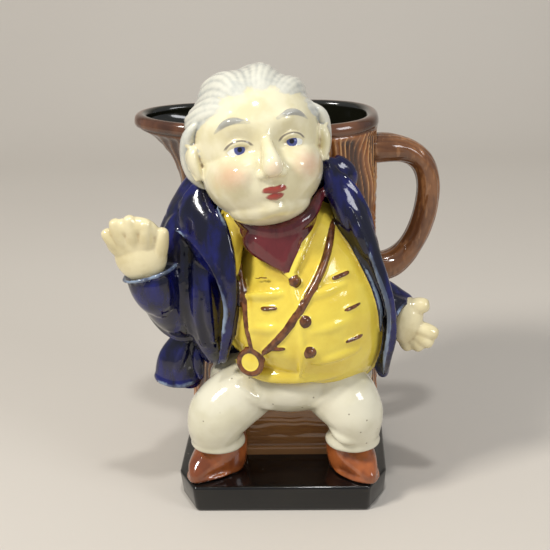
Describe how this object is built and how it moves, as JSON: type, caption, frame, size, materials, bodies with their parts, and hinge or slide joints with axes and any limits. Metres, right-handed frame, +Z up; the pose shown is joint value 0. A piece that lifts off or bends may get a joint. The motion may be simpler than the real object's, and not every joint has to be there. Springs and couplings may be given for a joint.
{
  "type": "toby jug",
  "caption": "Glazed earthenware jug shaped as a tree stump with a pouring lip and loop handle, fronted by a stout seated gentleman on a chamfered base.",
  "frame": {"origin": "middle of the base's flat underside", "axes": "+Z up, the figure faces -Y, the handle is at +X and the pouring lip at -X"},
  "size_m": [0.1262, 0.1002, 0.171],
  "materials": {
    "glaze": "gloss"
  },
  "bodies": {
    "root": {"toby_jug": "glaze"}
  },
  "joints": []
}
